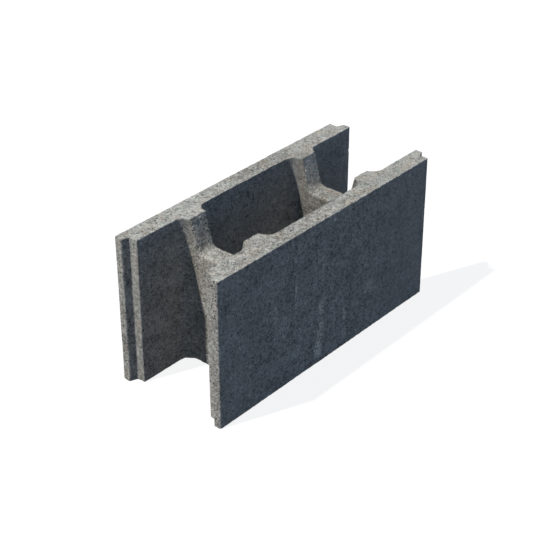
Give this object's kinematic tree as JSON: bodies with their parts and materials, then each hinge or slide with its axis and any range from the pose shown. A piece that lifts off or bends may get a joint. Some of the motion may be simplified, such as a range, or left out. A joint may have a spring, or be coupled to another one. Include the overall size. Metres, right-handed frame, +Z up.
{
  "type": "concrete shuttering block",
  "caption": "Hollow concrete shuttering block: long face shells joined by saddle-topped cross webs, with ship-lap ends, filled with concrete when laid.",
  "frame": {"origin": "middle of the bottom bed face", "axes": "+X along the wall, from the lipped end to the tongued end; +Y through the wall; +Z up"},
  "size_m": [0.512, 0.2, 0.25],
  "materials": {
    "concrete": "dry-cast, granular and matt"
  },
  "bodies": {
    "root": {"block": "concrete"}
  },
  "joints": []
}
